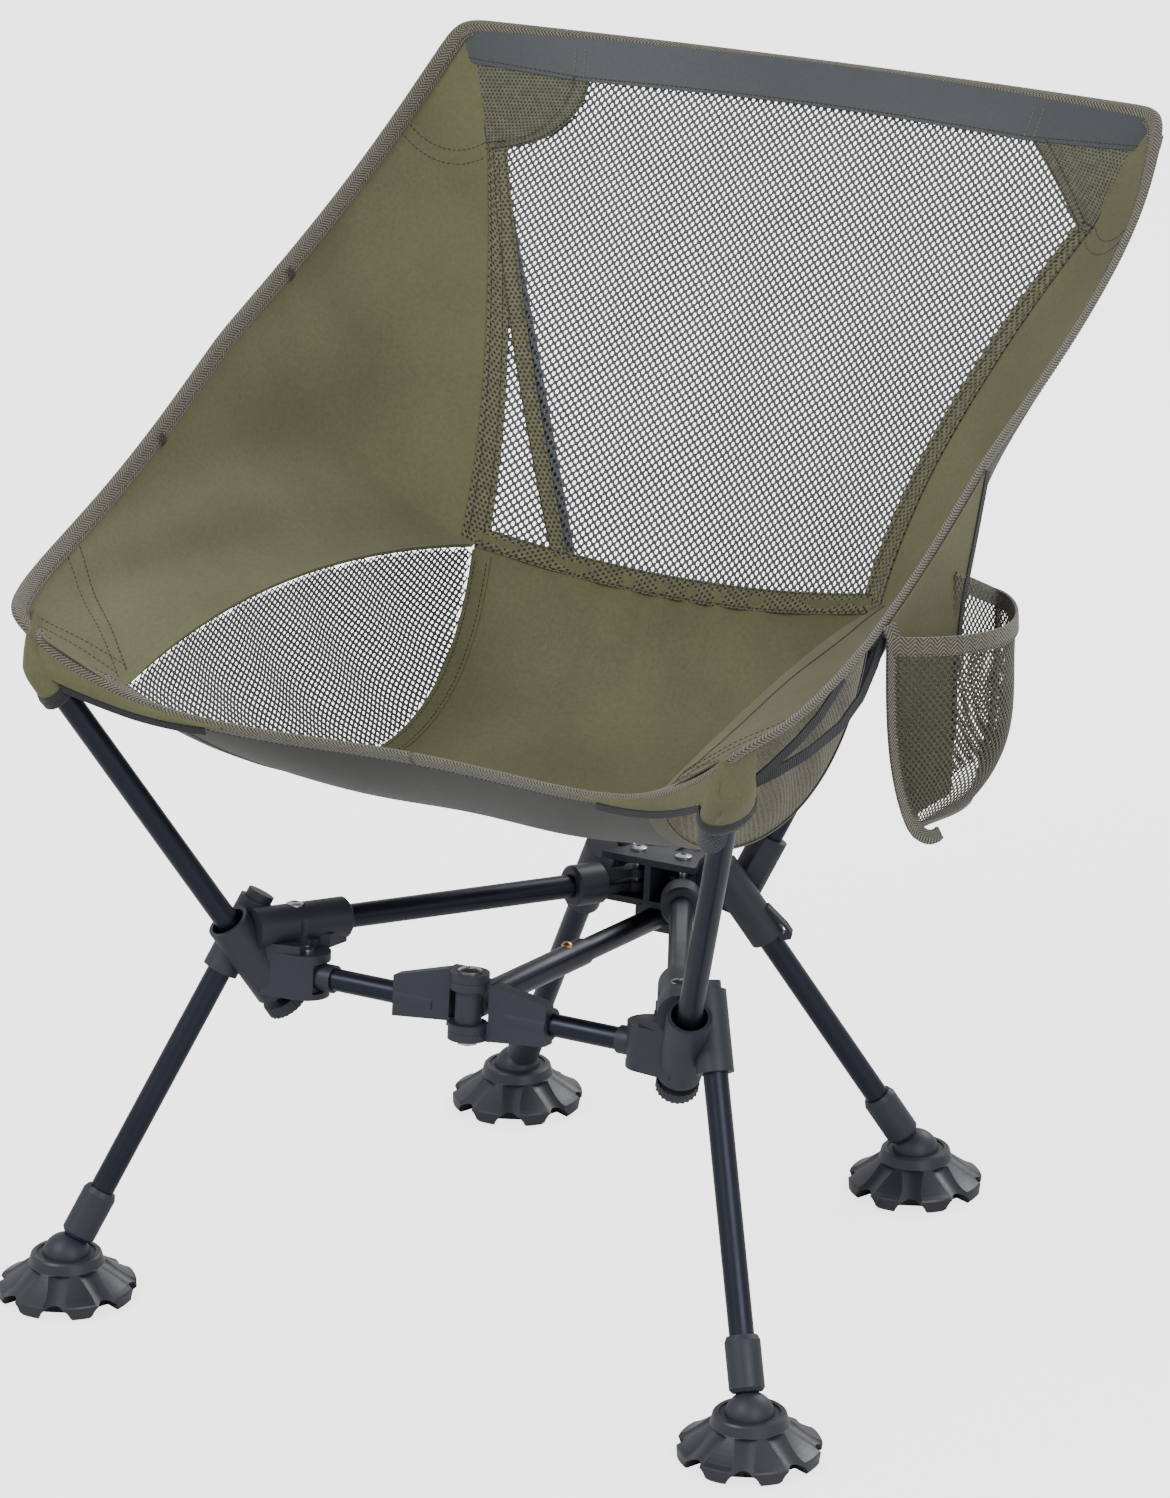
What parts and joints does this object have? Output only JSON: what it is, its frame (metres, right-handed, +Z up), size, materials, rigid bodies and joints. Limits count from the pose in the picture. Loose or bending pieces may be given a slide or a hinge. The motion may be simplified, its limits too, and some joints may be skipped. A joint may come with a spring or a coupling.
{
  "type": "folding field chair",
  "caption": "Low folding chair: a fabric bucket sling on four spread tubes, a folding brace and hub base, and round ball-jointed feet.",
  "frame": {"origin": "on the floor, at the middle of the whole chair's outline seen from above; the mirror plane of the frame is X = -15.5 mm, because the bottle pocket stands out on the right, and the hub's cross axis is at Y = +41.6 mm", "axes": "+X to the right seen from the front, +Y to the rear, +Z up"},
  "size_m": [0.555, 0.5414, 0.6531],
  "materials": {
    "tube": "satin navy-black anodised",
    "moulded": "matte moulded nylon",
    "steel": "zinc plated",
    "brass": "polished",
    "olive_fabric": "woven olive polyester",
    "mesh_fabric": "open grey polyester mesh",
    "binding": "herringbone tape"
  },
  "bodies": {
    "hub": {"hub_plate": "moulded", "hub_housing": "moulded", "pivot_screws": "steel", "rear_axles": "steel", "strut_inner_tube": "tube", "snap_spring": "steel", "seat_panel": "olive_fabric", "back_panel": "olive_fabric", "wing_right": "olive_fabric", "wing_left": "olive_fabric", "side_panel_right": "mesh_fabric", "side_panel_left": "mesh_fabric", "edge_binding": "binding", "bottle_pocket": "olive_fabric"},
    "strut": {"strut_sleeve": "tube", "strut_eye": "moulded", "hinge_bolt": "steel"},
    "snap_button": {"snap_button": "brass"},
    "link_right": {"link_tube_right": "tube", "hinge_bracket_right": "moulded", "link_eye_right": "moulded"},
    "front_right": {"side_tube_right": "tube", "pivot_fork_right": "moulded", "corner_fitting_right": "moulded", "arm_tube_right": "tube", "front_leg_tube_right": "tube", "fitting_screws_right": "steel", "arm_nut_right": "moulded", "front_ball_right": "moulded"},
    "upright_right": {"upright_tube_right": "tube", "upright_socket_right": "moulded"},
    "rear_leg_right": {"rear_leg_tube_right": "tube", "rear_leg_sleeve_right": "moulded", "rear_ball_right": "moulded"},
    "front_pocket_right": {"front_pocket_right": "olive_fabric"},
    "front_ring_right": {"front_ring_right": "moulded"},
    "front_foot_right": {"front_foot_right": "moulded"},
    "rear_ring_right": {"rear_ring_right": "moulded"},
    "rear_foot_right": {"rear_foot_right": "moulded"},
    "link_left": {"link_tube_left": "tube", "hinge_bracket_left": "moulded", "link_eye_left": "moulded"},
    "front_left": {"side_tube_left": "tube", "pivot_fork_left": "moulded", "corner_fitting_left": "moulded", "arm_tube_left": "tube", "front_leg_tube_left": "tube", "fitting_screws_left": "steel", "arm_nut_left": "moulded", "front_ball_left": "moulded"},
    "upright_left": {"upright_tube_left": "tube", "upright_socket_left": "moulded"},
    "rear_leg_left": {"rear_leg_tube_left": "tube", "rear_leg_sleeve_left": "moulded", "rear_ball_left": "moulded"},
    "front_pocket_left": {"front_pocket_left": "olive_fabric"},
    "front_ring_left": {"front_ring_left": "moulded"},
    "front_foot_left": {"front_foot_left": "moulded"},
    "rear_ring_left": {"rear_ring_left": "moulded"},
    "rear_foot_left": {"rear_foot_left": "moulded"}
  },
  "joints": [
    {"name": "frame_fold", "type": "slide", "parent": "hub", "child": "strut", "axis": [0, 0.9954, -0.0958], "range_m": [0, 0.0965], "deforming": ["seat_panel", "back_panel", "wing_right", "wing_left", "side_panel_right", "side_panel_left", "edge_binding", "bottle_pocket", "front_pocket_right", "front_pocket_left"]},
    {"name": "button_press", "type": "slide", "parent": "strut", "child": "snap_button", "axis": [0, 0.0958, 0.9954], "range_m": [-0.0025, 0]},
    {"name": "link_fold_left", "type": "hinge", "parent": "strut", "child": "link_left", "pos_m": [-0.01549, -0.15047, 0.1939], "axis": [0, 0.0958, 0.9954], "range_deg": [0, 77.46]},
    {"name": "corner_fold_left", "type": "hinge", "parent": "link_left", "child": "front_left", "pos_m": [-0.12809, -0.14204, 0.18856], "axis": [0, 0.0958, 0.9954], "range_deg": [-57.46, 0]},
    {"name": "pocket_fold_left", "type": "hinge", "parent": "hub", "child": "front_pocket_left", "pos_m": [-0.03049, 0.07446, 0.19384], "axis": [0, 0.0958, 0.9954], "range_deg": [0, 20.02]},
    {"name": "upright_fold_left", "type": "hinge", "parent": "hub", "child": "upright_left", "pos_m": [-0.06128, 0.09252, 0.1866], "axis": [0.565, 0.8251, 0], "range_deg": [0, 20.02]},
    {"name": "rear_leg_fold_left", "type": "hinge", "parent": "hub", "child": "rear_leg_left", "pos_m": [-0.06128, 0.09252, 0.1866], "axis": [0.565, 0.8251, 0], "range_deg": [-20.02, 0]},
    {"name": "link_fold_right", "type": "hinge", "parent": "strut", "child": "link_right", "pos_m": [-0.01549, -0.15047, 0.1939], "axis": [0, 0.0958, 0.9954], "range_deg": [-77.46, 0]},
    {"name": "corner_fold_right", "type": "hinge", "parent": "link_right", "child": "front_right", "pos_m": [0.09712, -0.14204, 0.18856], "axis": [0, 0.0958, 0.9954], "range_deg": [0, 57.46]},
    {"name": "pocket_fold_right", "type": "hinge", "parent": "hub", "child": "front_pocket_right", "pos_m": [-0.00049, 0.07446, 0.19384], "axis": [0, 0.0958, 0.9954], "range_deg": [-20.02, 0]},
    {"name": "upright_fold_right", "type": "hinge", "parent": "hub", "child": "upright_right", "pos_m": [0.03032, 0.09252, 0.1866], "axis": [-0.565, 0.8251, 0], "range_deg": [-20.02, 0]},
    {"name": "rear_leg_fold_right", "type": "hinge", "parent": "hub", "child": "rear_leg_right", "pos_m": [0.03032, 0.09252, 0.1866], "axis": [-0.565, 0.8251, 0], "range_deg": [0, 20.02]},
    {"name": "front_foot_tilt_right", "type": "hinge", "parent": "front_right", "child": "front_ring_right", "pos_m": [0.20652, -0.23069, 0.024], "axis": [1, 0, 0], "range_deg": [-12, 12]},
    {"name": "front_foot_swivel_right", "type": "hinge", "parent": "front_ring_right", "child": "front_foot_right", "pos_m": [0.20652, -0.23069, 0.024], "axis": [0, 0, 1], "continuous": true},
    {"name": "front_foot_tilt_left", "type": "hinge", "parent": "front_left", "child": "front_ring_left", "pos_m": [-0.23749, -0.23069, 0.024], "axis": [1, 0, 0], "range_deg": [-12, 12]},
    {"name": "front_foot_swivel_left", "type": "hinge", "parent": "front_ring_left", "child": "front_foot_left", "pos_m": [-0.23749, -0.23069, 0.024], "axis": [0, 0, 1], "continuous": true},
    {"name": "rear_foot_tilt_right", "type": "hinge", "parent": "rear_leg_right", "child": "rear_ring_right", "pos_m": [0.12122, 0.14411, 0.024], "axis": [1, 0, 0], "range_deg": [-12, 12]},
    {"name": "rear_foot_swivel_right", "type": "hinge", "parent": "rear_ring_right", "child": "rear_foot_right", "pos_m": [0.12122, 0.14411, 0.024], "axis": [0, 0, 1], "continuous": true},
    {"name": "rear_foot_tilt_left", "type": "hinge", "parent": "rear_leg_left", "child": "rear_ring_left", "pos_m": [-0.15218, 0.14411, 0.024], "axis": [1, 0, 0], "range_deg": [-12, 12]},
    {"name": "rear_foot_swivel_left", "type": "hinge", "parent": "rear_ring_left", "child": "rear_foot_left", "pos_m": [-0.15218, 0.14411, 0.024], "axis": [0, 0, 1], "continuous": true}
  ],
  "couplings": [
    {"joint": "link_fold_left", "follows": "frame_fold", "rad_per_m": 14.006},
    {"joint": "corner_fold_left", "follows": "frame_fold", "rad_per_m": -10.389},
    {"joint": "pocket_fold_left", "follows": "frame_fold", "rad_per_m": 3.6173},
    {"joint": "upright_fold_left", "follows": "frame_fold", "rad_per_m": 3.6173},
    {"joint": "rear_leg_fold_left", "follows": "frame_fold", "rad_per_m": -3.6173},
    {"joint": "link_fold_right", "follows": "frame_fold", "rad_per_m": -14.006},
    {"joint": "corner_fold_right", "follows": "frame_fold", "rad_per_m": 10.389},
    {"joint": "pocket_fold_right", "follows": "frame_fold", "rad_per_m": -3.6173},
    {"joint": "upright_fold_right", "follows": "frame_fold", "rad_per_m": -3.6173},
    {"joint": "rear_leg_fold_right", "follows": "frame_fold", "rad_per_m": 3.6173}
  ]
}
